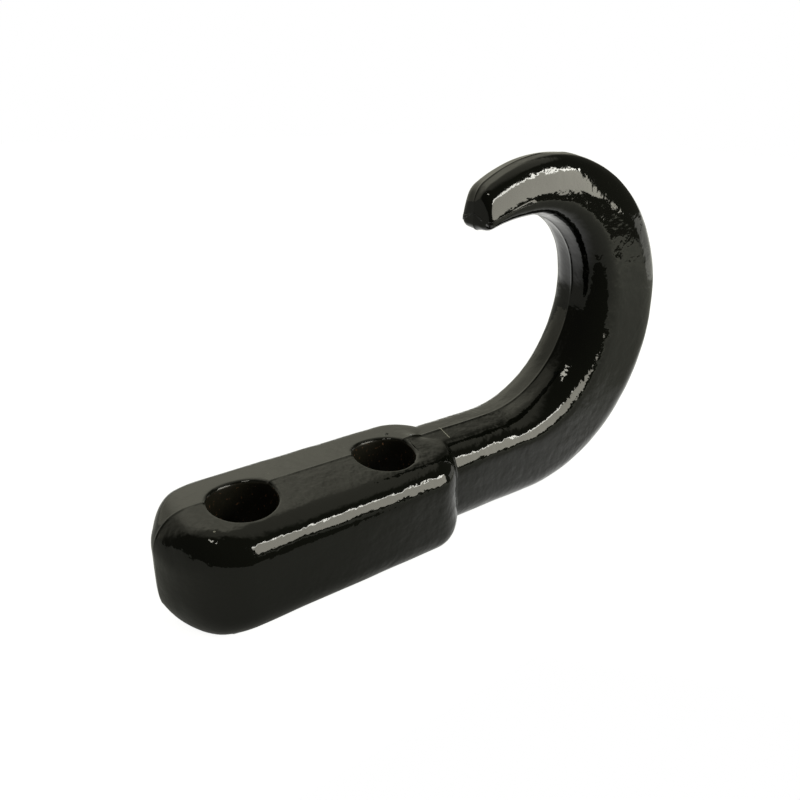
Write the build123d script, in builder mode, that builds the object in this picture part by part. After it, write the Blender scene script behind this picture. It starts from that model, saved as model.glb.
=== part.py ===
from build123d import *
import math
import os

# Bolt-on tow hook: one steel drop forging, powder coated black.
# +X runs from the bolted block out to the hook, +Z up from the flat seat.
# The origin is on the seat, halfway between the two bolt bores.

# Die parting plane and draft: the two die halves meet beside the bore axes
PARTING_Y = 2.9
DRAFT = 7.0
DRAFT_SLOPE = math.tan(math.radians(DRAFT))

# Mounting block
BLOCK_BACK_X = -42.8
BLOCK_FRONT_X = 40.6
BLOCK_HALF_WIDTH = 18.4
BLOCK_HEIGHT = 30.8
BLOCK_BACK_PLAN_RADIUS = 15.0
BLOCK_FRONT_PLAN_RADIUS = 10.6
BLOCK_RIM_RADIUS = 6.9
SIDE_Y = PARTING_Y - BLOCK_HALF_WIDTH

# Side outline of the bar, drawn on the parting plane: each arc is a radius
# and the angle of its normal at the far end
SHANK_ROOT_X = 28.0
SHANK_TOP_Z = 29.9
SHANK_FOOT_Z = 2.2
THROAT_START_X = 61.5
BACK_START_X = 73.8
THROAT_ARCS = [(33.9, 9.6), (24.0, 66.5), (29.3, 120.6)]
BACK_ARCS = [(55.1, 4.2), (48.4, 121.9)]

# Cross-section of the bar from the shank (0) to the tip (1):
# place along the bend, half width, throat corner radius, back corner radius
BAR_SECTIONS = [
    (0.0, 12.6, 8.6, 8.6),
    (0.4, 12.0, 10.2, 10.2),
    (0.75, 9.2, 7.6, 7.6),
    (1.0, 9.2, 4.6, 4.6),
]
BEND_STATIONS = 10
TIP_ROUNDING = 1.9
VALLEY_RADIUS = 1.5

# Bolt bores: the mouths on the roof are flared by a formed cutter
BORE_DIAMETER = 17.0
BORE_SPACING = 42.0
FLARE_START_Z = 27.6
FLARE_RADIUS = 4.0
FLARE_ANGLE = 65.0

# Room outside the solid for the cutting shapes, and the slack used when picking edges
CLEARANCE = 10.0
CUT_REACH = 80.0
SLACK = 0.05


def tangent_arcs(start_x, start_z, arcs):
    """Chain arcs from a point where the outline runs level; angles are those of the normal."""
    radius = arcs[0][0]
    centre = Vector(start_x, start_z + radius)
    angle = -90.0
    chain = []
    for next_radius, end_angle in arcs:
        turn = Vector(math.cos(math.radians(angle)), math.sin(math.radians(angle)))
        centre = centre + turn * (radius - next_radius)
        radius = next_radius
        chain.append((end_angle, centre, radius))
        angle = end_angle
    return chain


def point_on(chain, share):
    """Point of a chain of arcs where its normal has turned this share of the way."""
    angle = -90.0 + share * (chain[-1][0] + 90.0)
    end_angle, centre, radius = next(arc for arc in chain if angle <= arc[0] + SLACK)
    turn = Vector(math.cos(math.radians(angle)), math.sin(math.radians(angle)))
    return centre + turn * radius


def blend(share, column):
    """Value of one column of BAR_SECTIONS on the smooth curve through its four rows."""
    value = 0
    for row in BAR_SECTIONS:
        others = [other[0] for other in BAR_SECTIONS if other is not row]
        value += row[column] * math.prod((share - other) / (row[0] - other) for other in others)
    return value


def half_section(throat, back, share, lean):
    """Near half of a face across the bar, drafted from the parting line, with full corners."""
    middle = (throat + back) * 0.5
    across = (throat - back).normalized()
    along = math.cos(math.radians(lean))
    plane = Plane(
        origin=(middle.X, PARTING_Y, middle.Y),
        x_dir=(across.X, 0, across.Y),
        z_dir=(across.Y * along, -math.sin(math.radians(lean)), -across.X * along),
    )
    half_depth = (throat - back).length / 2
    half_width = blend(share, 1)
    corner = half_depth - half_width * DRAFT_SLOPE
    with BuildSketch(plane) as section:
        with BuildLine():
            Polyline(
                (half_depth, 0),
                (corner, half_width),
                (-corner, half_width),
                (-half_depth, 0),
                close=True,
            )
        make_face()
        side = section.vertices().group_by(Axis.Y)[-1].sort_by(Axis.X)
        fillet(side[-1], blend(share, 2))
        side = section.vertices().group_by(Axis.Y)[-1].sort_by(Axis.X)
        fillet(side[0], blend(share, 3))
    return section.sketch


# Half sections of the bar: its root inside the block, then round the bend to the tip,
# whose end leans back at the draft angle
throat_chain = tangent_arcs(THROAT_START_X, SHANK_TOP_Z, THROAT_ARCS)
back_chain = tangent_arcs(BACK_START_X, SHANK_FOOT_Z, BACK_ARCS)
root_top = Vector(SHANK_ROOT_X, SHANK_TOP_Z)
root_foot = Vector(SHANK_ROOT_X, SHANK_FOOT_Z)
shank_root = half_section(root_top, root_foot, 0, 0)
bend_sections = []
for station in range(BEND_STATIONS + 1):
    share = station / BEND_STATIONS
    lean = DRAFT if station == BEND_STATIONS else 0
    throat = point_on(throat_chain, share)
    back = point_on(back_chain, share)
    bend_sections.append(half_section(throat, back, share, lean))


def off_parting(edge):
    """Whether an edge stands clear of the parting plane."""
    return (edge @ 0.5).Y < PARTING_Y - SLACK


def along_rim(edge):
    """Whether an edge runs round the top of the half block."""
    return off_parting(edge) and min((edge @ 0).Z, (edge @ 1).Z) > BLOCK_HEIGHT / 2


def along_foot(edge):
    """Whether an edge runs round the seat."""
    return off_parting(edge) and max((edge @ 0).Z, (edge @ 1).Z) < SLACK


def in_valley(edge):
    """Whether an edge lies where the shank comes out of the front of the block."""
    first = edge @ 0
    last = edge @ 1
    start_x = BLOCK_FRONT_X - BLOCK_RIM_RADIUS
    outside = min(first.X, last.X) > start_x and max(first.X, last.X) < BLOCK_FRONT_X + SLACK
    return off_parting(edge) and outside and edge.geom_type == GeomType.BSPLINE


with BuildPart() as hook_forging:
    # Near half of the block: its plan, then a roof that falls at the draft angle
    # from the ridge on the parting plane
    with BuildSketch() as plan:
        with BuildLine():
            Polyline(
                (BLOCK_BACK_X, PARTING_Y),
                (BLOCK_FRONT_X, PARTING_Y),
                (BLOCK_FRONT_X, SIDE_Y),
                (BLOCK_BACK_X + BLOCK_HALF_WIDTH * DRAFT_SLOPE, SIDE_Y),
                close=True,
            )
        make_face()
        fillet(plan.vertices().group_by(Axis.Y)[0].sort_by(Axis.X)[0], BLOCK_BACK_PLAN_RADIUS)
        fillet(plan.vertices().group_by(Axis.Y)[0].sort_by(Axis.X)[-1], BLOCK_FRONT_PLAN_RADIUS)
    extrude(amount=BLOCK_HEIGHT)
    with BuildSketch(Plane.YZ):
        with BuildLine():
            Polyline(
                (PARTING_Y, BLOCK_HEIGHT),
                (PARTING_Y, BLOCK_HEIGHT + CLEARANCE),
                (SIDE_Y - CLEARANCE, BLOCK_HEIGHT + CLEARANCE),
                (SIDE_Y - CLEARANCE, BLOCK_HEIGHT - (BLOCK_HALF_WIDTH + CLEARANCE) * DRAFT_SLOPE),
                close=True,
            )
        make_face()
    extrude(amount=CUT_REACH, both=True, mode=Mode.SUBTRACT)
    fillet(hook_forging.edges().filter_by(along_rim), BLOCK_RIM_RADIUS)
    fillet(hook_forging.edges().filter_by(along_foot), BLOCK_RIM_RADIUS)

    # Straight shank out of the block, then the bend to the blunt tip
    loft(sections=[shank_root, bend_sections[0]], ruled=True)
    loft(sections=bend_sections)
    tip = hook_forging.faces().filter_by(GeomType.PLANE).sort_by(Axis.Z)[-1]
    fillet(tip.edges().filter_by(off_parting), TIP_ROUNDING)
    fillet(hook_forging.edges().filter_by(in_valley), VALLEY_RADIUS)

    # Both die halves are alike
    mirror(about=Plane.XZ.offset(-PARTING_Y))

    # Bolt bores, drilled after forging, square at the seat and flared at the roof
    with GridLocations(BORE_SPACING, 1, 2, 1):
        Hole(BORE_DIAMETER / 2)
    flare_height = FLARE_RADIUS * math.sin(math.radians(FLARE_ANGLE))
    flare_width = FLARE_RADIUS * (1 - math.cos(math.radians(FLARE_ANGLE)))
    for bore_x in (-BORE_SPACING / 2, BORE_SPACING / 2):
        with BuildSketch(Plane.XZ.shift_origin((bore_x, 0, FLARE_START_Z))):
            with BuildLine():
                wall = RadiusArc(
                    (BORE_DIAMETER / 2, 0),
                    (BORE_DIAMETER / 2 + flare_width, flare_height),
                    FLARE_RADIUS,
                )
                Polyline(wall @ 1, (0, flare_height), (0, 0), wall @ 0)
            make_face()
        revolve(axis=Axis((bore_x, 0, 0), (0, 0, 1)), mode=Mode.SUBTRACT)

hook_forging.part.label = "hook_forging"

os.makedirs("parts", exist_ok=True)
export_step(hook_forging.part, "parts/hook_forging.step")
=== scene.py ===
import bmesh
import bpy
import numpy as np
from mathutils import Matrix, Vector


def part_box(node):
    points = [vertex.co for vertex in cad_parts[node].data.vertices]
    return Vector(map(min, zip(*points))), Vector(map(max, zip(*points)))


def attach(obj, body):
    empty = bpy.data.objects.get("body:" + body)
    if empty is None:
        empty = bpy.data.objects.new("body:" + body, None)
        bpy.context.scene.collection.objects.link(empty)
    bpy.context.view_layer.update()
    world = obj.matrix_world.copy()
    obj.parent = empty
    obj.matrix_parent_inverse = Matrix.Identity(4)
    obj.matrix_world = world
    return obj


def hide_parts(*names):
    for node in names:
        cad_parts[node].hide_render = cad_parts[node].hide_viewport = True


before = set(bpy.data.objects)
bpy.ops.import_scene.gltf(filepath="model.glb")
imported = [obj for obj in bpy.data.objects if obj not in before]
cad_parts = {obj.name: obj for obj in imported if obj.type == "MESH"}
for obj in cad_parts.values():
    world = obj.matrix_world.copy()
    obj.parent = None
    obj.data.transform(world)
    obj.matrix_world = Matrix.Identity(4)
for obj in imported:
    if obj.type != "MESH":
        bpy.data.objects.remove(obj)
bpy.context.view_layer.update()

# Hook
# One steel drop forging: mounting block, shank and bent bar come out of a two-part die together and
# are alike about its parting plane; then the bolt bores are drilled and the whole is powder coated.
MM = 0.001
PARTING_Y = 2.9 * MM
DRAFT = np.radians(7.0)

BLOCK_BACK_X = -42.8 * MM
BLOCK_FRONT_X = 40.6 * MM
BLOCK_HALF_WIDTH = 18.4 * MM
BLOCK_HEIGHT = 30.8 * MM
BLOCK_CORNER = 7.9 * MM
BACK_PLAN_RADIUS = 17.4 * MM
BACK_TOP_RADIUS = 9.6 * MM
BACK_FOOT_RADIUS = 9.6 * MM
FRONT_PLAN_RADIUS = 10.6 * MM
FRONT_RIM_RADIUS = 7.9 * MM
VALLEY_RADIUS = 1.5 * MM

SHANK_TOP_Z = 29.9 * MM
SHANK_FOOT_Z = 2.2 * MM
THROAT_START_X = 61.9 * MM
BACK_START_X = 74.9 * MM
# Arcs of the bend's side outline: radius in millimetres, angle of the normal at the far end
THROAT_ARCS = [(33.2, 15.9), (24.4, 62.8), (23.1, 91.8), (61.7, 109.6)]
BACK_ARCS = [(54.2, 4.2), (49.6, 97.5), (50.0, 124.5)]
# Cross-sections at four places from the start of the bend to the tip, in millimetres and degrees
SECTION_SHARES = [0.0, 0.4, 0.75, 1.0]
SECTION_HALF_WIDTHS = [12.6, 12.0, 8.7, 6.4]
SECTION_THROAT_RADII = [8.6, 10.2, 6.2, 3.2]
SECTION_BACK_RADII = [8.6, 9.6, 5.4, 3.0]
SECTION_SIDE_TILTS = [2.0, 9.0, 25.0, 26.0]
SECTION_SIDE_RADII = [20.0, 22.0, 19.0, 17.0]
LEAST_TILT = np.radians(2.0)
TIP_LEAN = np.tan(np.radians(4.0))
TIP_LEAN_START = 0.9
TIP_START = 1 - 0.052
TIP_NEAR_RADIUS = 0.7 * MM
TIP_TOP_RADIUS = 1.6 * MM
TIP_FAR_RADIUS = 3.2 * MM
TIP_FOOT_RADIUS = 3.0 * MM

# Bolt bores: clearance for 16 mm bolts, with a rolled lip at the roof and a slight one at the seat
BORE_RADIUS = 8.5 * MM
BORE_SPACING = 42.0 * MM
ROOF_LIP = 1.1 * MM
SEAT_LIP = 0.4 * MM

# Flash line on the parting plane; waves left by scale and blasting, and how far the surface is set
# in to keep them within the solid's box; a nick at the foot of the block's back
FLASH_HEIGHT = 0.10 * MM
FLASH_HALF_WIDTH = 0.5 * MM
RIPPLE_HEIGHT = 0.012 * MM
RIPPLE_INSET = 0.04 * MM
NICK_DEPTH = 0.8 * MM
NICK_WIDTH = 1.3 * MM
NICK_Z = 4.5 * MM
NICK_REACH = 12 * MM

# Places of the points along each slope, arc and side of half a cross-section
SLOPE_SHARES = np.array([0, 0.02, 0.045, 0.08, 0.13, 0.2, 0.3, 0.42, 0.56, 0.7, 0.85])
ARC_SHARES = np.linspace(0, 1, 17)[:-1]
TILT_SHARES = np.linspace(0, 1, 9)[:-1]
SIDE_SHARES = np.linspace(0, 1, 9)[:-1]


def column(values):
    """A list of station values as a column, so that it spreads over the points of a ring."""
    return np.atleast_1d(np.asarray(values, float))[:, None]


def half_ring(
    top, foot, half_width, top_radius, foot_radius,
    foot_draft=DRAFT, foot_flash=FLASH_HEIGHT, side_tilt=LEAST_TILT, side_radius=20 * MM,
):
    """Heights and widths of half a cross-section, one row for each station. From the top of the
    parting line it falls along the draft, height = top - tan(draft) * width, turns down on an arc
    tangent to that slope and to the upright side, leans in on a wide arc until its normal has
    tilted by side_tilt, and closes on a tighter arc and the draft at the foot. The flash line is a
    low parabola standing on the parting line."""
    top, foot, half_width = column(top), column(foot), column(half_width)
    top_radius, foot_radius = column(top_radius), column(foot_radius)
    side_tilt, side_radius = column(side_tilt), column(side_radius)
    side_gap = side_radius - foot_radius
    top_reach = half_width - top_radius
    foot_reach = half_width - foot_radius - side_gap * (1 - np.cos(side_tilt))
    top_drop = np.tan(DRAFT) * top_reach + top_radius / np.cos(DRAFT)
    foot_drop = np.tan(foot_draft) * foot_reach + foot_radius / np.cos(foot_draft)
    side_foot = foot + foot_drop + side_gap * np.sin(side_tilt)
    top_turn = (np.pi / 2 - DRAFT) * (1 - ARC_SHARES)
    tilt_turn = side_tilt * TILT_SHARES
    foot_turn = side_tilt + (np.pi / 2 - foot_draft - side_tilt) * ARC_SHARES
    top_slope = SLOPE_SHARES * (top_reach + top_radius * np.sin(DRAFT))
    foot_slope = np.append(SLOPE_SHARES, 1)[::-1] * (foot_reach + foot_radius * np.sin(foot_draft))
    top_flash = FLASH_HEIGHT * np.clip(1 - (top_slope / FLASH_HALF_WIDTH) ** 2, 0, 1)
    low_flash = foot_flash * np.clip(1 - (foot_slope / FLASH_HALF_WIDTH) ** 2, 0, 1)
    heights = [
        top - np.tan(DRAFT) * top_slope + top_flash,
        top - top_drop + top_radius * np.sin(top_turn),
        (top - top_drop) * (1 - SIDE_SHARES) + side_foot * SIDE_SHARES,
        side_foot - side_radius * np.sin(tilt_turn),
        foot + foot_drop - foot_radius * np.sin(foot_turn),
        foot + np.tan(foot_draft) * foot_slope - low_flash,
    ]
    widths = [
        top_slope,
        top_reach + top_radius * np.cos(top_turn),
        half_width + 0 * SIDE_SHARES,
        half_width - side_radius * (1 - np.cos(tilt_turn)),
        foot_reach + foot_radius * np.cos(foot_turn),
        foot_slope,
    ]
    return np.hstack(heights), np.hstack(widths)


def whole_ring(top, foot, heights, widths, lean=0.0):
    """Points round the whole section: top and foot are points of the parting line in the plane of
    symmetry, each height is measured from the foot towards the top, and the far half is the near
    half turned round. A lean shifts a point along X in proportion to its distance from the parting
    plane."""
    along = top - foot
    depth = np.linalg.norm(along, axis=1, keepdims=True)
    along = along / depth
    x = foot[:, :1] + along[:, :1] * heights + column(lean) * widths
    z = foot[:, 1:] + along[:, 1:] * heights
    near = np.stack([x, PARTING_Y - widths, z], 2)
    far = np.stack([x, PARTING_Y + widths, z], 2)
    return np.concatenate([near, far[:, -2:0:-1]], 1)


def rounding(distance, radius):
    """How far a quarter round of this radius has drawn in at a distance from its end face:
    radius - sqrt(radius^2 - (radius - distance)^2)."""
    left = np.clip(radius - distance, 0, radius)
    return radius - np.sqrt(radius ** 2 - left ** 2)


def arc_chain(start, arcs, share):
    """Points on a chain of tangent arcs that starts level at start, where the normal has turned
    that share of the way from straight down to the last arc's end angle."""
    angles = -90.0 + share * (arcs[-1][1] + 90.0)
    centre = np.array(start) + np.array([0, arcs[0][0] * MM])
    points = np.zeros((len(share), 2))
    angle = -90.0
    last_radius = arcs[0][0]
    for radius, end_angle in arcs:
        turn = np.array([np.cos(np.radians(angle)), np.sin(np.radians(angle))])
        centre = centre + turn * (last_radius - radius) * MM
        here = angles >= angle - 1e-9
        turns = np.radians(angles[here])
        points[here] = centre + radius * MM * np.stack([np.cos(turns), np.sin(turns)], 1)
        angle = end_angle
        last_radius = radius
    return points


def section_value(share, values):
    """A section dimension along the bend: the cubic that passes through its four given values."""
    return np.polyval(np.polyfit(SECTION_SHARES, values, 3), share) * MM


def level_rings(x, top, foot, half_width, radius, lean=0.0):
    """Upright rings of the block at these stations: half_ring with the height top - foot, and with
    neither draft nor flash at the seat."""
    heights, widths = half_ring(top - foot, 0 * top, half_width, radius, radius, 0.0, 0.0)
    return whole_ring(np.stack([x, top], 1), np.stack([x, foot], 1), heights, widths, lean)


# Rounded back end and straight middle of the block; the back leans in towards the parting line
BACK_STATIONS = 30
MIDDLE_STATIONS = 56
FULL_CORNER = 0.93
back_turn = np.radians(np.linspace(0, 90, BACK_STATIONS))
back_depth = BACK_PLAN_RADIUS * (1 - np.cos(back_turn))
middle_end = BLOCK_FRONT_X - FRONT_PLAN_RADIUS - BLOCK_BACK_X
middle_depth = np.linspace(BACK_PLAN_RADIUS, middle_end, MIDDLE_STATIONS)[1:]
depth = np.concatenate([back_depth, middle_depth])
block_width = BLOCK_HALF_WIDTH - rounding(depth, BACK_PLAN_RADIUS)
block_rings = level_rings(
    BLOCK_BACK_X + depth,
    BLOCK_HEIGHT - rounding(depth, BACK_TOP_RADIUS),
    rounding(depth, BACK_FOOT_RADIUS),
    block_width,
    np.minimum(BLOCK_CORNER, block_width * FULL_CORNER),
    np.tan(DRAFT) * np.clip(1 - depth / (1.5 * BACK_PLAN_RADIUS), 0, 1),
)

# Front end of the block: from the block's ring each point turns in on a quarter round until it
# meets the shank's ring, and a small fillet leads it out along the shank
ROUND_STATIONS = 22
VALLEY_STATIONS = 10
SHANK_STATIONS = 24
block_ring = level_rings(
    np.zeros(1), np.array([BLOCK_HEIGHT]), np.zeros(1), BLOCK_HALF_WIDTH, BLOCK_CORNER
)[0]
shank_heights, shank_widths = half_ring(
    SHANK_TOP_Z - SHANK_FOOT_Z,
    0.0,
    SECTION_HALF_WIDTHS[0] * MM,
    SECTION_THROAT_RADII[0] * MM,
    SECTION_BACK_RADII[0] * MM,
)
shank_ring = whole_ring(
    np.array([[0, SHANK_TOP_Z]]), np.array([[0, SHANK_FOOT_Z]]), shank_heights, shank_widths
)[0]
step = shank_ring - block_ring
step_depth = np.linalg.norm(step, axis=1)
step_way = step / step_depth[:, None]
sideways = step_way[:, 1] ** 2
round_radius = FRONT_RIM_RADIUS + (FRONT_PLAN_RADIUS - FRONT_RIM_RADIUS) * sideways
valley_radius = np.minimum(VALLEY_RADIUS, step_depth)
meet = np.arccos((round_radius - step_depth + valley_radius) / (round_radius + valley_radius))
round_turn = column(np.linspace(0, 1, ROUND_STATIONS)) * meet
valley_turn = column(np.linspace(1, 0, VALLEY_STATIONS)[1:]) * meet
valley_x = BLOCK_FRONT_X - round_radius + (round_radius + valley_radius) * np.sin(meet)
front_x = np.vstack([
    BLOCK_FRONT_X - round_radius + round_radius * np.sin(round_turn),
    valley_x - valley_radius * np.sin(valley_turn),
])
front_inset = np.vstack([
    round_radius * (1 - np.cos(round_turn)),
    step_depth - valley_radius * (1 - np.cos(valley_turn)),
])
front_rings = block_ring + front_inset[:, :, None] * step_way
front_rings[:, :, 0] = front_x

# The bend, station by station; its last rings lean back on both sides of the parting line
BEND_STATIONS = 170
TIP_STATIONS = 21
tip_turn = np.radians(np.linspace(0, 90, TIP_STATIONS)[1:])
bend_share = np.concatenate([
    np.linspace(0, TIP_START, BEND_STATIONS),
    TIP_START + (1 - TIP_START) * np.sin(tip_turn),
])
throat = arc_chain((THROAT_START_X, SHANK_TOP_Z), THROAT_ARCS, bend_share)
back = arc_chain((BACK_START_X, SHANK_FOOT_Z), BACK_ARCS, bend_share)
bend_depth = np.linalg.norm(throat - back, axis=1)
bend_heights, bend_widths = half_ring(
    bend_depth,
    0 * bend_depth,
    section_value(bend_share, SECTION_HALF_WIDTHS),
    section_value(bend_share, SECTION_THROAT_RADII),
    section_value(bend_share, SECTION_BACK_RADII),
    side_tilt=np.radians(section_value(bend_share, SECTION_SIDE_TILTS) / MM),
    side_radius=section_value(bend_share, SECTION_SIDE_RADII),
)
tip_lean = TIP_LEAN * np.clip((bend_share - TIP_LEAN_START) / (1 - TIP_LEAN_START), 0, 1) ** 2
bend_rings = whole_ring(throat, back, bend_heights, bend_widths, tip_lean)

# Straight shank between the valley and the start of the bend
shank_share = np.linspace(0, 1, SHANK_STATIONS)[1:-1, None, None]
shank_rings = front_rings[-1] * (1 - shank_share) + bend_rings[0] * shank_share

# Towards the end face each ring is drawn in to its middle by a quarter round, tight along the near
# edge and fuller on the far half, and rings that shrink to a point close the end face, as others
# close the back of the block
END_RINGS = 12
BACK_RINGS = 5
TOP_EDGE_FADE = 3 * MM
section_way = np.zeros((len(throat), 1, 3))
section_way[:, 0, 0], section_way[:, 0, 2] = ((throat - back) / bend_depth[:, None]).T
ring_middle = np.full((len(throat), 1, 3), PARTING_Y)
ring_middle[:, 0, 0], ring_middle[:, 0, 2] = ((throat + back) / 2).T
inward = ring_middle - bend_rings
inward /= np.linalg.norm(inward, axis=2, keepdims=True)
to_end = bend_rings[:, :, 0] - bend_rings[-1:, :, 0]
foot_share = np.clip(-(inward * section_way).sum(2), 0, 1) ** 2
near_share = np.clip(inward[:, :, 1], 0, 1) ** 2
tip_radius = TIP_FAR_RADIUS + (TIP_NEAR_RADIUS - TIP_FAR_RADIUS) * near_share
tip_radius = tip_radius + (TIP_FOOT_RADIUS - tip_radius) * foot_share
on_near_half = np.clip((PARTING_Y - bend_rings[:, :, 1]) / TOP_EDGE_FADE, 0, 1)
top_share = np.clip((inward * section_way).sum(2), 0, 1) * on_near_half
tip_radius = tip_radius + (TIP_TOP_RADIUS - tip_radius) * top_share ** 2
bend_rings += inward * rounding(to_end, tip_radius)[:, :, None]
end_ring = bend_rings[-1]
end_middle = (end_ring[0] + end_ring[len(end_ring) // 2]) / 2
end_shares = np.linspace(1, 0, END_RINGS)[1:-1, None, None]
end_rings = end_middle + (end_ring - end_middle) * end_shares
back_middle = (block_rings[0][0] + block_rings[0][len(end_ring) // 2]) / 2
back_shares = np.linspace(0, 1, BACK_RINGS)[1:-1, None, None]
back_rings = back_middle + (block_rings[0] - back_middle) * back_shares

rings = np.concatenate([back_rings, block_rings, front_rings, shank_rings, bend_rings, end_rings])
stations, ring_points = rings.shape[:2]
bottom = ring_points // 2


def roof_height(y):
    """Height of the block's roof at this place across it: block height - tan(draft) * distance from
    the ridge, with the flash on top, then the corner arc tangent to that slope."""
    across = np.abs(y - PARTING_Y)
    reach = BLOCK_HALF_WIDTH - BLOCK_CORNER
    drop = np.tan(DRAFT) * reach + BLOCK_CORNER / np.cos(DRAFT)
    slope = BLOCK_HEIGHT - np.tan(DRAFT) * across
    flash = FLASH_HEIGHT * np.clip(1 - (across / FLASH_HALF_WIDTH) ** 2, 0, 1)
    arc = BLOCK_HEIGHT - drop + np.sqrt(np.clip(BLOCK_CORNER ** 2 - (across - reach) ** 2, 0, None))
    return np.where(across < reach + BLOCK_CORNER * np.sin(DRAFT), slope + flash, arc)


def seat_height(y):
    """Height of the underside at this place across it: flat, then the corner arc, which rises by
    radius - sqrt(radius^2 - distance^2)."""
    beyond = np.clip(np.abs(y - PARTING_Y) - (BLOCK_HALF_WIDTH - BLOCK_CORNER), 0, None)
    return BLOCK_CORNER - np.sqrt(BLOCK_CORNER ** 2 - beyond ** 2)


def lip_rings(window, circle, bore_x, lip, height, up):
    """Rings from a window to the bore: straight across to the lip's outer circle, then down its
    quarter round, radius = bore + lip * (1 - sin), depth = lip * (1 - cos)."""
    rim = circle * (BORE_RADIUS + lip) + [bore_x, 0]
    share = np.linspace(0, 1, 7)[1:, None, None]
    flat = window[:, :2] * (1 - share) + rim * share
    flat = np.concatenate([flat, height(flat[:, :, 1])[:, :, None]], 2)
    turn = np.radians(np.linspace(0, 90, 10)[1:, None, None])
    down = circle * (BORE_RADIUS + lip * (1 - np.sin(turn))) + [bore_x, 0]
    depth = lip * (1 - np.cos(turn)) + 0 * down[:, :, :1]
    down = np.concatenate([down, height(rim[:, 1])[None, :, None] - up * depth], 2)
    return np.concatenate([flat, down])


grid = np.arange(stations * ring_points).reshape(stations, ring_points)
kept = np.ones((stations - 1, ring_points), bool)
extra_points = []
extra_quads = []
point_count = stations * ring_points + 2
block_station_x = rings[:, bottom, 0]
block_end = len(back_rings) + len(block_rings)

# Bolt bores: a window is left in the roof and in the seat, and rings of points lead from each
# window over a rolled lip to the straight wall between them. The rings' points are turned so that
# the flash line meets each lip on the parting plane.
WINDOW_MARGIN = 1.2 * MM
WALL_STATIONS = 22
for bore_x in (-BORE_SPACING / 2, BORE_SPACING / 2):
    half_window = BORE_RADIUS + ROOF_LIP + WINDOW_MARGIN
    first = np.searchsorted(block_station_x[:block_end], bore_x - half_window) - 1
    last = np.searchsorted(block_station_x[:block_end], bore_x + half_window)
    near_side = PARTING_Y - rings[first, :bottom, 1]
    near_steps = np.searchsorted(near_side, half_window + PARTING_Y)
    far_steps = np.searchsorted(near_side, half_window - PARTING_Y)
    top_columns = np.arange(-far_steps, near_steps + 1)
    seat_columns = bottom - top_columns
    kept[first:last, top_columns[:-1]] = False
    kept[first:last, np.arange(bottom - near_steps, bottom + far_steps)] = False
    loops = []
    for columns in (top_columns, seat_columns):
        loops.append(np.concatenate([
            grid[first, columns[:-1]],
            grid[first:last, columns[-1]],
            grid[last, columns[:0:-1]],
            grid[last:first:-1, columns[0]],
        ]))
    around_window = rings.reshape(-1, 3)[loops[0]]
    count = len(around_window)
    angle = np.unwrap(np.arctan2(around_window[:, 1], around_window[:, 0] - bore_x))
    on_ridge = np.flatnonzero(np.abs(around_window[:, 1] - PARTING_Y) < 1e-6)
    ridge_angle = np.arcsin(PARTING_Y / (BORE_RADIUS + ROOF_LIP))
    shift = [
        ridge_angle - np.arctan2(PARTING_Y, abs(around_window[k, 0] - bore_x)) for k in on_ridge
    ]
    signed = [s if around_window[k, 0] > bore_x else -s for s, k in zip(shift, on_ridge)]
    angle = angle + np.interp(np.arange(count), on_ridge, signed, period=count)
    circle = np.stack([np.cos(angle), np.sin(angle)], 1)
    all_points = rings.reshape(-1, 3)
    from_roof = lip_rings(all_points[loops[0]], circle, bore_x, ROOF_LIP, roof_height, 1)
    from_seat = lip_rings(all_points[loops[1]], circle, bore_x, SEAT_LIP, seat_height, -1)
    wall_share = np.linspace(0, 1, WALL_STATIONS)[1:-1, None, None]
    wall = from_roof[-1] * (1 - wall_share) + from_seat[-1] * wall_share
    tube = np.concatenate([from_roof, wall, from_seat[::-1]])
    tube_grid = point_count + np.arange(tube.shape[0] * count).reshape(tube.shape[0], count)
    point_count += tube.shape[0] * count
    tube_grid = np.vstack([loops[0], tube_grid, loops[1]])
    extra_points.append(tube.reshape(-1, 3))
    following = np.roll(tube_grid, -1, 1)
    extra_quads.append(
        np.stack([tube_grid[:-1], following[:-1], following[1:], tube_grid[1:]], 2).reshape(-1, 4)
    )

# All points and faces, with the fans that close the back of the block and the end face
poles = np.array([back_middle, end_middle])
points = np.concatenate([rings.reshape(-1, 3), poles] + extra_points)
following = np.roll(grid, -1, 1)
quads = np.stack([grid[:-1], following[:-1], following[1:], grid[1:]], 2)[kept]
quads = np.concatenate([quads] + extra_quads)
back_fan = np.stack([grid[0], np.roll(grid[0], 1), 0 * grid[0] + stations * ring_points], 1)
tip_fan = np.stack([np.roll(grid[-1], 1), grid[-1], 0 * grid[-1] + stations * ring_points + 1], 1)

body_mesh = bpy.data.meshes.new("hook_body")
body_mesh.from_pydata(points.tolist(), [], quads.tolist() + back_fan.tolist() + tip_fan.tolist())
body_mesh.validate()
hook_body = bpy.data.objects.new("hook_body", body_mesh)
bpy.context.scene.collection.objects.link(hook_body)

shell = bmesh.new()
shell.from_mesh(body_mesh)
bmesh.ops.delete(shell, geom=[v for v in shell.verts if not v.link_faces], context="VERTS")
bmesh.ops.remove_doubles(shell, verts=shell.verts, dist=1e-7)
bmesh.ops.recalc_face_normals(shell, faces=shell.faces)
shell.to_mesh(body_mesh)
shell.free()

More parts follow.
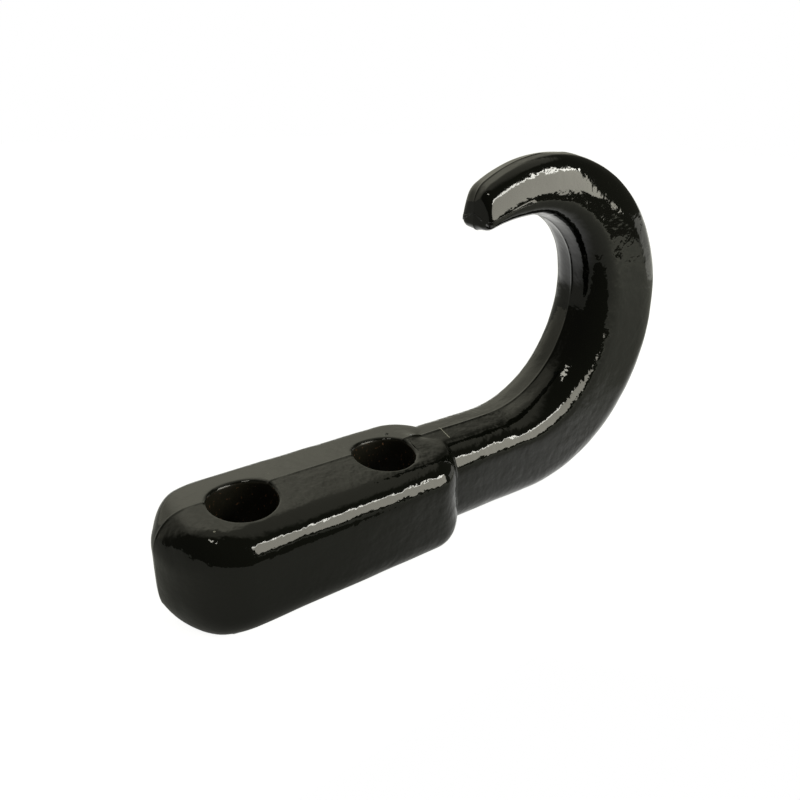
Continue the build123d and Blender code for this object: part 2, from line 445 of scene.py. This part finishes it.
# The low waves that scale and shot blasting leave in the surface, and the nick
WAVES = 18
SHORTEST_WAVE = 6
LONGEST_WAVE = 30
points = np.zeros(len(body_mesh.vertices) * 3)
normals = np.zeros(len(body_mesh.vertices) * 3)
body_mesh.vertices.foreach_get("co", points)
body_mesh.vertex_normals.foreach_get("vector", normals)
points, normals = points.reshape(-1, 3), normals.reshape(-1, 3)
chance = np.random.default_rng(4)
wave_ways = chance.normal(size=(WAVES, 3))
wave_ways /= np.linalg.norm(wave_ways, axis=1, keepdims=True)
wave_lengths = np.geomspace(SHORTEST_WAVE, LONGEST_WAVE, WAVES) * MM
wave_starts = chance.uniform(0, 6.28, WAVES)
waves = np.sin(2 * np.pi * (points @ wave_ways.T) / wave_lengths + wave_starts)
ripple = RIPPLE_HEIGHT * (waves * np.sqrt(wave_lengths / wave_lengths.mean())).sum(1)
from_nick = (points[:, 1] - PARTING_Y) ** 2 + (points[:, 2] - NICK_Z) ** 2
nick = NICK_DEPTH * np.exp(-from_nick / NICK_WIDTH ** 2)
nick = nick * (points[:, 0] < BLOCK_BACK_X + NICK_REACH)
points = points + normals * (ripple - RIPPLE_INSET - nick)[:, None]
low, high = (np.array(corner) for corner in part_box("hook_forging"))
points = np.clip(points, low, high)
body_mesh.vertices.foreach_set("co", points.ravel())
body_mesh.shade_smooth()
body_mesh.update()

# The hook's powder coat: black polyester baked on in one coat over the forged skin, glossy and
# slightly olive, with a fine orange peel and the dents of the scale below. It is thin and duller
# inside the bores, where rust specks show.
COAT = (0.0035, 0.0040, 0.0026, 1)
THIN_COAT = (0.012, 0.011, 0.007, 1)
RUST = (0.16, 0.085, 0.05, 1)
DUST = (0.22, 0.22, 0.19, 1)
SCRATCH = (0.32, 0.32, 0.28, 1)
COAT_ROUGHNESS = 0.06
ADDED_BORE_ROUGHNESS = 0.3
FINE_PEEL_HEIGHT = 0.000028
PEEL_HEIGHT = 0.00006
DENT_HEIGHT = 0.00018
SCRATCH_X = 0.0433
SCRATCH_SLOPE = 0.167
coat = bpy.data.materials.new("black_coat")
coat.use_nodes = True
nodes, links = coat.node_tree.nodes, coat.node_tree.links
shader = nodes["Principled BSDF"]
shader.inputs["IOR"].default_value = 1.5
place = nodes.new("ShaderNodeTexCoord").outputs["Object"]


def noise(scale, detail):
    """Noise with features about one metre over the scale in size."""
    texture = nodes.new("ShaderNodeTexNoise")
    texture.inputs["Scale"].default_value = scale
    texture.inputs["Detail"].default_value = detail
    links.new(place, texture.inputs["Vector"])
    return texture.outputs["Fac"]


def ramp(value, start, end, low=0.0, high=1.0):
    """The value eased from low at start to high at end by a smooth step."""
    step = nodes.new("ShaderNodeMapRange")
    step.interpolation_type = "SMOOTHSTEP"
    for name, number in zip(("From Min", "From Max", "To Min", "To Max"), (start, end, low, high)):
        step.inputs[name].default_value = number
    links.new(value, step.inputs["Value"])
    return step.outputs["Result"]


def combine(operation, *values):
    """The result of one math node on sockets or numbers."""
    node = nodes.new("ShaderNodeMath")
    node.operation = operation
    for slot, value in zip(node.inputs, values):
        if isinstance(value, float):
            slot.default_value = value
        else:
            links.new(value, slot)
    return node.outputs["Value"]


def bump(height, distance, below=None):
    """A raised pattern of this height in metres laid over the normals below it."""
    node = nodes.new("ShaderNodeBump")
    node.inputs["Strength"].default_value = 1.0
    node.inputs["Distance"].default_value = distance
    links.new(height, node.inputs["Height"])
    if below is not None:
        links.new(below, node.inputs["Normal"])
    return node.outputs["Normal"]


# Peel all over, and dents that come and go and are deepest on the block and the shank
axes = nodes.new("ShaderNodeSeparateXYZ")
links.new(place, axes.inputs["Vector"])
along, across, up = axes.outputs["X"], axes.outputs["Y"], axes.outputs["Z"]
rough_skin = ramp(noise(34.0, 2.0), 0.36, 0.62, 0.3, 1.0)
rough_skin = combine("MULTIPLY", rough_skin, ramp(up, 0.035, 0.05, 1.7, 1.0))
dents = combine("MULTIPLY", noise(300.0, 2.0), rough_skin)
surface = bump(noise(800.0, 2.0), FINE_PEEL_HEIGHT)
surface = bump(noise(110.0, 1.0), PEEL_HEIGHT, surface)
surface = bump(dents, DENT_HEIGHT, surface)
links.new(surface, shader.inputs["Normal"])

# The bores' walls lie less than their radius, and a little, from the nearer bore's axis:
# sqrt((|x| - spacing / 2)^2 + y^2)
off_axis = combine("SUBTRACT", combine("ABSOLUTE", along), BORE_SPACING / 2)
off_axis_squared = combine("MULTIPLY", off_axis, off_axis)
across_squared = combine("MULTIPLY", across, across)
from_axis = combine("SQRT", combine("ADD", off_axis_squared, across_squared))
in_bore = ramp(from_axis, BORE_RADIUS + 0.3 * MM, BORE_RADIUS + 0.1 * MM)
rust = combine("MULTIPLY", in_bore, ramp(noise(1300.0, 3.0), 0.64, 0.70))

# Specks of dust, one to a cell where they lie at all
cells = nodes.new("ShaderNodeTexVoronoi")
cells.inputs["Scale"].default_value = 150.0
links.new(place, cells.inputs["Vector"])
specks = ramp(cells.outputs["Distance"], 0.055, 0.03)
dust = combine("MULTIPLY", specks, ramp(noise(60.0, 1.0), 0.52, 0.58))

# A short scratch across the top of the shank's root: distance along X from a slanting line
slant = combine("ADD", combine("MULTIPLY", across, SCRATCH_SLOPE), SCRATCH_X)
from_line = combine("ABSOLUTE", combine("SUBTRACT", along, slant))
from_middle = combine("ABSOLUTE", combine("SUBTRACT", across, 0.001))
scratch = combine("MULTIPLY", ramp(from_line, 0.00020, 0.00008), ramp(up, 0.0265, 0.0275))
scratch = combine("MULTIPLY", scratch, ramp(from_middle, 0.0033, 0.0028))


def tint(share, below, colour):
    """A colour laid over the one below it where the share is 1."""
    node = nodes.new("ShaderNodeMix")
    node.data_type = "RGBA"
    links.new(share, node.inputs["Factor"])
    if isinstance(below, tuple):
        node.inputs["A"].default_value = below
    else:
        links.new(below, node.inputs["A"])
    node.inputs["B"].default_value = colour
    return node.outputs["Result"]


colour = tint(in_bore, COAT, THIN_COAT)
colour = tint(rust, colour, RUST)
colour = tint(dust, colour, DUST)
colour = tint(scratch, colour, SCRATCH)
links.new(colour, shader.inputs["Base Color"])
duller = combine("MULTIPLY", in_bore, ADDED_BORE_ROUGHNESS)
links.new(combine("ADD", duller, COAT_ROUGHNESS), shader.inputs["Roughness"])
body_mesh.materials.append(coat)

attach(hook_body, "root")
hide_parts("hook_forging")

# Floor
# A sheet of matt white paper under the hook; it stops short of the camera, where the room is dark.
# To the camera it reads as white with the hook's soft shadow on it. In the coat's reflections it
# glows with a painted pool of light that is bright beside the shank and fades outwards.
FLOOR_CORNERS = [
    (-0.8, -0.052), (0.025, -0.057), (0.055, -0.09), (0.075, -0.2),
    (0.1, -0.6), (1.5, -0.6), (1.5, 1.5), (-0.8, 1.5),
]
FLOOR_GAP = 0.2 * MM
PAPER = (0.36, 0.37, 0.34, 1)
PAPER_WHITE = 0.93
# Middle, full-strength radius and outer radius of the painted pool of light that the floor gives
# off in reflections
PAINTED_POOL_MIDDLE = (0.13, 0.10, 0.0)
PAINTED_POOL_FULL_RADIUS = 0.07
PAINTED_POOL_EDGE_RADIUS = 0.19
floor_mesh = bpy.data.meshes.new("floor")
floor_points = [(x, y, -FLOOR_GAP) for x, y in FLOOR_CORNERS]
floor_mesh.from_pydata(floor_points, [], [range(len(floor_points))])
floor = bpy.data.objects.new("floor", floor_mesh)
bpy.context.scene.collection.objects.link(floor)
paper = bpy.data.materials.new("paper")
paper.use_nodes = True
nodes, links = paper.node_tree.nodes, paper.node_tree.links
nodes.clear()
matt = nodes.new("ShaderNodeBsdfDiffuse")
matt.inputs["Color"].default_value = PAPER
rays = nodes.new("ShaderNodeLightPath")
distance = nodes.new("ShaderNodeVectorMath")
distance.operation = "DISTANCE"
distance.inputs[1].default_value = PAINTED_POOL_MIDDLE
links.new(nodes.new("ShaderNodeTexCoord").outputs["Object"], distance.inputs[0])
# Painted pool of light: to glossy rays the floor glows at full strength near the shank and fades to
# a tenth outwards
painted_pool = ramp(distance.outputs["Value"], PAINTED_POOL_EDGE_RADIUS, PAINTED_POOL_FULL_RADIUS, 0.10, 1.0)
seen = combine("MULTIPLY", rays.outputs["Is Camera Ray"], PAPER_WHITE)
painted_pool_in_reflections = combine("MULTIPLY", rays.outputs["Is Glossy Ray"], painted_pool)
white_and_painted_glow = nodes.new("ShaderNodeEmission")
links.new(combine("ADD", seen, painted_pool_in_reflections), white_and_painted_glow.inputs["Strength"])
both = nodes.new("ShaderNodeAddShader")
links.new(matt.outputs["BSDF"], both.inputs[0])
links.new(white_and_painted_glow.outputs["Emission"], both.inputs[1])
out = nodes.new("ShaderNodeOutputMaterial")
links.new(both.outputs["Shader"], out.inputs["Surface"])
floor_mesh.materials.append(paper)

# Room
# White to the camera. The coat and the floor see a dim room with a pale ceiling and a lit back
# wall, each fading softly into the dark.
WALL_PAINT = (1.0, 0.98, 0.80, 1)
WHITE = (1.0, 1.0, 1.0, 1)
DARKEST = 0.06
world = bpy.data.worlds.new("room")
bpy.context.scene.world = world
world.use_nodes = True
nodes, links = world.node_tree.nodes, world.node_tree.links
background = nodes["Background"]
to_camera = nodes.new("ShaderNodeLightPath").outputs["Is Camera Ray"]
way = nodes.new("ShaderNodeTexCoord").outputs["Generated"]


def facing(azimuth, elevation):
    """Cosine of the angle between the ray and this direction in degrees."""
    across, up = np.radians(azimuth), np.radians(elevation)
    node = nodes.new("ShaderNodeVectorMath")
    node.operation = "DOT_PRODUCT"
    level = np.cos(up)
    node.inputs[1].default_value = (level * np.cos(across), level * np.sin(across), np.sin(up))
    links.new(way, node.inputs[0])
    return node.outputs["Value"]


overhead = ramp(facing(0, 90), 0.68, 0.80, 0.0, 0.36)
ceiling = combine("MULTIPLY", overhead, ramp(facing(50, 0), -0.35, 0.0))
wall_foot = ramp(facing(90, 8), 0.40, 0.78, 0.0, 0.42)
wall_top = ramp(facing(78, 38), 0.84, 0.97, 0.0, 0.35)
wall = combine("ADD", wall_foot, wall_top)
glow = combine("ADD", combine("ADD", ceiling, wall), DARKEST)
links.new(combine("MAXIMUM", glow, to_camera), background.inputs["Strength"])
links.new(tint(to_camera, WALL_PAINT, WHITE), background.inputs["Color"])

# Lamps
# A large softbox to the right of the camera, brighter along its upper edge, a small lamp high on
# the left, which gives the glints on the block's corner, and a card low beyond the hook's end:
# direction from the hook, distance, width, height, brightness and colour.
LAMPS = [
    ("right softbox", -58.5, 16.0, 0.9, 0.68, 0.44, 4.8, (1.0, 0.97, 0.83)),
    ("bright edge", -58.5, 28.2, 0.9, 0.66, 0.035, 14.0, (1.0, 1.0, 0.94)),
    ("small lamp", -151.0, 54.0, 0.9, 0.26, 0.10, 9.0, (1.0, 0.98, 0.86)),
    ("card", 0.0, -1.0, 0.5, 0.42, 0.13, 0.65, (1.0, 1.0, 0.92)),
]
middle_of_hook = Vector((0.04, 0.0, 0.05))
for name, azimuth, elevation, reach, width, height, brightness, colour in LAMPS:
    lamp_data = bpy.data.lights.new(name, "AREA")
    lamp_data.shape = "RECTANGLE"
    lamp_data.size = width
    lamp_data.size_y = height
    lamp_data.energy = brightness * np.pi * width * height
    lamp_data.color = colour
    lamp = bpy.data.objects.new(name, lamp_data)
    bpy.context.scene.collection.objects.link(lamp)
    across, up = np.radians(azimuth), np.radians(elevation)
    level = np.cos(up)
    to_lamp = Vector((level * np.cos(across), level * np.sin(across), np.sin(up)))
    lamp.location = middle_of_hook + to_lamp * reach
    lamp.rotation_euler = (-to_lamp).to_track_quat("-Z", "Y").to_euler()
    lamp.visible_camera = False

# Camera
# At the photograph's place, from the hook's outline, its parting line and the rims of the bores:
# close to the block's near back corner, looking down along the shank.
CAMERA_PLACE = (-81.3 * MM, -140.6 * MM, 122.4 * MM)
CAMERA_TURN = -37.384
CAMERA_LOOK_DOWN = 23.749
CAMERA_ROLL = 1.411
CAMERA_LENS = 32.19
camera_data = bpy.data.cameras.new("camera")
camera_data.sensor_width = 36.0
camera_data.lens = CAMERA_LENS
camera_data.clip_start = 0.005
camera = bpy.data.objects.new("camera", camera_data)
bpy.context.scene.collection.objects.link(camera)
turn = Matrix.Rotation(np.radians(CAMERA_TURN), 4, "Z")
tilt = Matrix.Rotation(np.radians(90 - CAMERA_LOOK_DOWN), 4, "X")
roll = Matrix.Rotation(np.radians(CAMERA_ROLL), 4, "Z")
camera.matrix_world = Matrix.Translation(Vector(CAMERA_PLACE)) @ turn @ tilt @ roll
bpy.context.scene.camera = camera

bpy.context.scene.view_settings.view_transform = "Standard"
